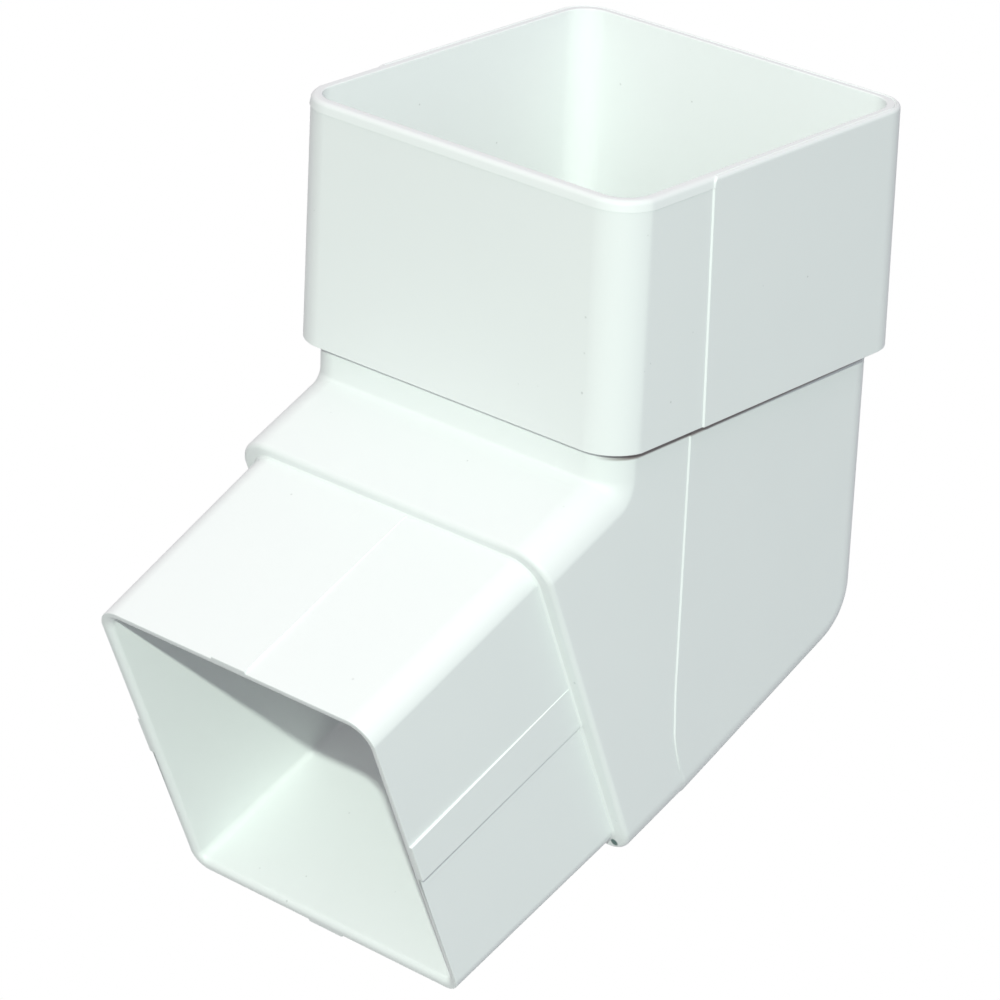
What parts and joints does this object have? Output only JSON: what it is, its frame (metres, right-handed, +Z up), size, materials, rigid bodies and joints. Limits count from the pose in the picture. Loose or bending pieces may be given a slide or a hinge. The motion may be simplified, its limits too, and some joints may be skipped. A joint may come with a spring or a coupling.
{
  "type": "downspout elbow",
  "caption": "Square downspout elbow in white plastic: socket for the upper pipe, mitred bend with round heel and throat, tapered spigot and shoulder for the lower pipe.",
  "frame": {"origin": "centre of the ledge inside the socket where the upper pipe's end stops", "axes": "+Z up the socket's axis, towards its rim; the spigot leaves towards -Y and down; X = 0 is the plane of symmetry"},
  "size_m": [0.0706, 0.1177, 0.1262],
  "materials": {
    "white_pvc": "smooth moulded rigid PVC, white with a faint green cast, low gloss"
  },
  "bodies": {
    "root": {"downspout_elbow": "white_pvc"}
  },
  "joints": []
}
